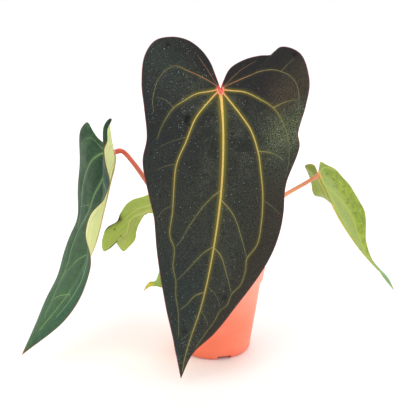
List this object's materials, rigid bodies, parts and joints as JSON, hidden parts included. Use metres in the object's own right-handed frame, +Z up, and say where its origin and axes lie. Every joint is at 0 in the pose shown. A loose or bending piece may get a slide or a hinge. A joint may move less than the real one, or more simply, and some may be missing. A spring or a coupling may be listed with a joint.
{
  "type": "potted anthurium plant",
  "caption": "Anthurium hybrid in a tapered plastic nursery pot: heart-shaped leaves hang from tall arching stalks that rise from a short rooted stem set in bark potting mix.",
  "frame": {"origin": "centre of the pot's underside, on the surface the pot stands on", "axes": "+Z up along the pot's axis; the large front leaf hangs towards -Y and the left leaf reaches towards -X"},
  "size_m": [0.4424, 0.1977, 0.3781],
  "materials": {
    "pot_plastic": "satin coral polypropylene, slightly scuffed",
    "potting_mix": "damp bark chips and fibre, rough",
    "stem_tissue": "green-brown with dry leaf scars",
    "stalk_tissue": "smooth, coral red over green",
    "dark_velvet_blade": "velvety, greenish black with yellow veins",
    "green_blade": "velvety, mid green above and pale below",
    "pale_blade": "satin, light yellow-green underside",
    "old_blade": "satin, green fading to yellow at the tip"
  },
  "bodies": {
    "root": {"pot": "pot_plastic", "potting_mix": "potting_mix", "stem": "stem_tissue", "leaf_front_stalk": "stalk_tissue", "leaf_left_stalk": "stalk_tissue", "leaf_right_stalk": "stalk_tissue", "leaf_back_left_stalk": "stalk_tissue", "leaf_small_stalk": "stalk_tissue", "leaf_front_blade": "dark_velvet_blade", "leaf_left_blade": "green_blade", "leaf_right_blade": "pale_blade", "leaf_back_left_blade": "pale_blade", "leaf_small_blade": "old_blade"}
  },
  "joints": []
}
